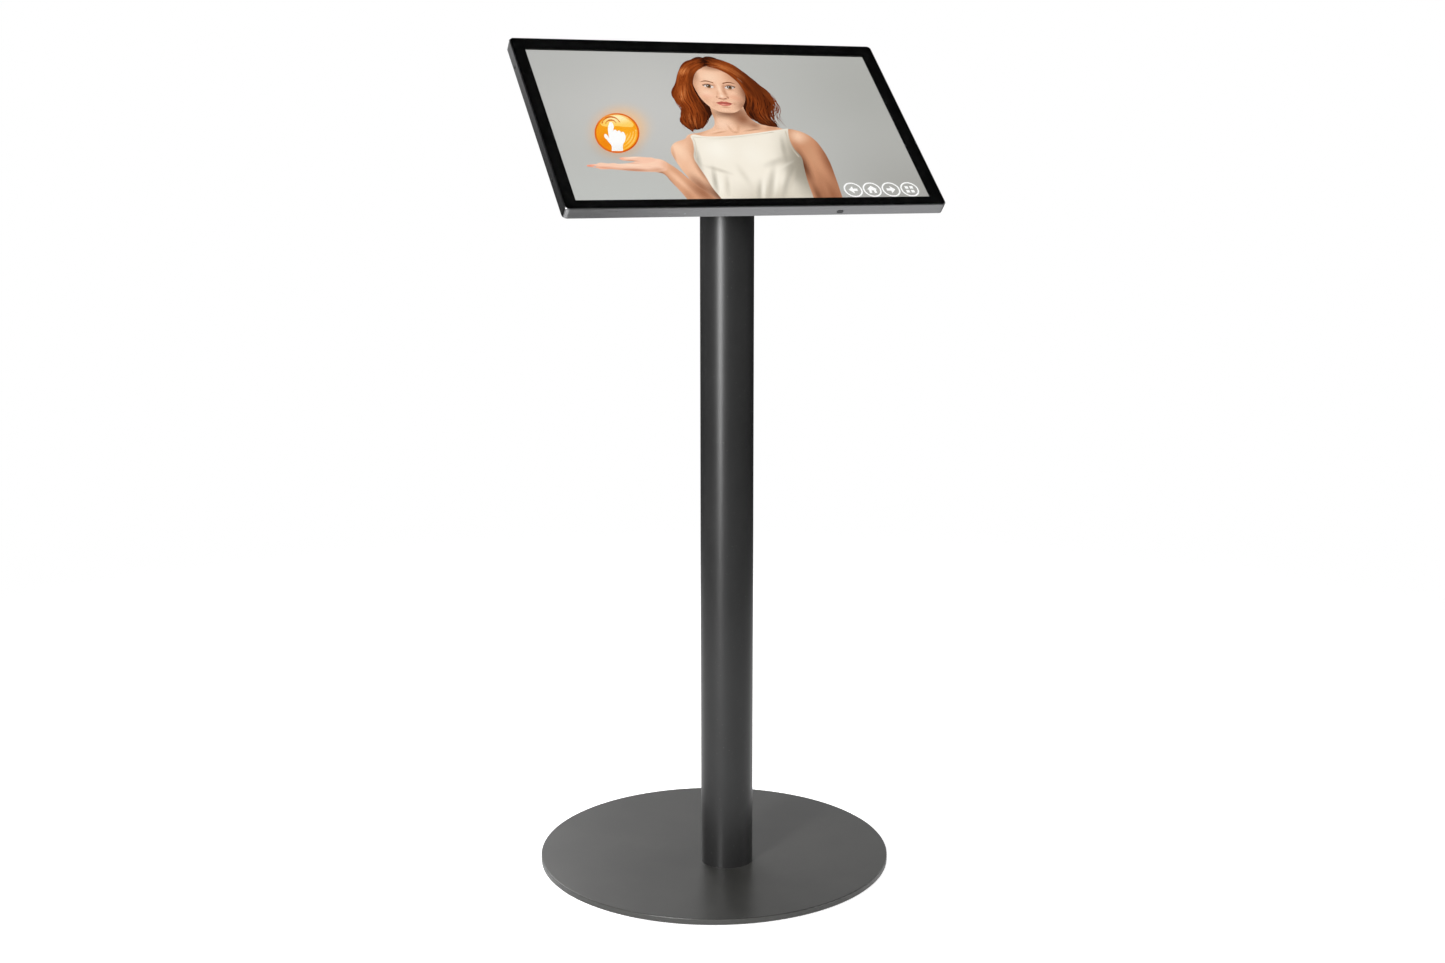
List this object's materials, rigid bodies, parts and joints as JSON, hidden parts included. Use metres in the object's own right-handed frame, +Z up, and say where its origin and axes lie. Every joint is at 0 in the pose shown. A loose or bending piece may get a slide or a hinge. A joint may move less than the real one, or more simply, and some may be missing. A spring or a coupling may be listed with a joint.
{
  "type": "touchscreen kiosk",
  "caption": "Free-standing touchscreen kiosk: landscape touch display on a friction tilt hinge at the top of a round post, standing on a thin round foot plate.",
  "frame": {"origin": "on the floor, under the middle of the round foot plate", "axes": "+Z up; -Y towards the person using the screen; +X to the screen's right"},
  "size_m": [0.5116, 0.48, 1.1061],
  "materials": {
    "plate_paint": "fine matt anthracite powder coat on steel",
    "post_paint": "fine satin anthracite powder coat on steel",
    "black_steel": "satin black powder coat on steel",
    "housing_paint": "fine-textured black powder coat on sheet steel",
    "frame_aluminium": "dark grey anodised, lightly brushed",
    "cover_glass": "tempered float glass with a black printed border",
    "sensor_glass": "clear coated glass",
    "panel_glass": "polarised panel glass",
    "clear_acrylic": "clear polished acrylic",
    "white_film": "white diffusing film",
    "white_plastic": "moulded white plastic",
    "led_strip": "white solder mask with yellow LED windows",
    "circuit_board": "green solder mask with dark parts",
    "flex_film": "amber polyimide film",
    "raw_steel": "zinc-coated sheet steel",
    "zinc_steel": "bright zinc-plated steel",
    "black_screw": "black oxide steel",
    "bare_aluminium": "bare satin aluminium",
    "brass_standoff": "plain turned brass",
    "rubber": "matt black moulded rubber",
    "black_foam": "black closed-cell foam tape",
    "nylon": "natural nylon",
    "button_plastic": "dark grey moulded plastic",
    "black_plastic": "black moulded plastic",
    "light_pipe": "clear moulded plastic"
  },
  "bodies": {
    "stand": {"base_plate": "plate_paint", "floor_ring": "rubber", "foot_flange": "raw_steel", "foot_screws": "zinc_steel", "post_tube": "post_paint", "outlet_grommet": "rubber", "post_cap": "black_steel", "cap_screws": "black_steel", "tilt_yoke": "black_steel", "yoke_screws": "zinc_steel", "hinge_bolts": "zinc_steel", "hinge_nuts": "zinc_steel", "friction_washers": "nylon"},
    "display": {"tilt_bracket": "black_steel", "bracket_screws": "zinc_steel", "side_frame": "frame_aluminium", "frame_screws": "black_screw", "cover_glass": "cover_glass", "glass_tape": "black_foam", "touch_sensor": "sensor_glass", "touch_flex": "flex_film", "touch_controller": "circuit_board", "panel_bezel": "raw_steel", "lcd_cell": "panel_glass", "optical_films": "white_film", "light_guide": "clear_acrylic", "reflector_sheet": "white_film", "led_bar": "led_strip", "panel_mould": "white_plastic", "backlight_tray": "raw_steel", "module_screws": "zinc_steel", "rear_housing": "housing_paint", "panel_rails": "raw_steel", "rail_screws": "black_screw", "clinch_nuts": "zinc_steel", "housing_grommet": "rubber", "computer_board": "circuit_board", "heat_sink": "bare_aluminium", "driver_board": "circuit_board", "supply_terminal": "circuit_board", "board_standoffs": "brass_standoff", "board_screws": "zinc_steel", "storage_drive": "bare_aluminium", "drive_screws": "black_screw", "timing_board": "circuit_board", "power_switch": "black_plastic", "button_board": "circuit_board", "status_light": "light_pipe", "indicator_board": "circuit_board", "panel_cable": "flex_film", "button_lead": "flex_film"},
    "button": {"power_button": "button_plastic", "switch_plunger": "button_plastic"}
  },
  "joints": [
    {"name": "display_tilt", "type": "hinge", "parent": "stand", "child": "display", "pos_m": [0, -0.045, 0.916], "axis": [1, 0, 0], "range_deg": [-25, 15]},
    {"name": "button_press", "type": "slide", "parent": "display", "child": "button", "axis": [0, 0.7266, 0.6871], "range_m": [0, 0.0005], "stiffness_N_per_m": 2400, "springref_m": -0.0005}
  ]
}
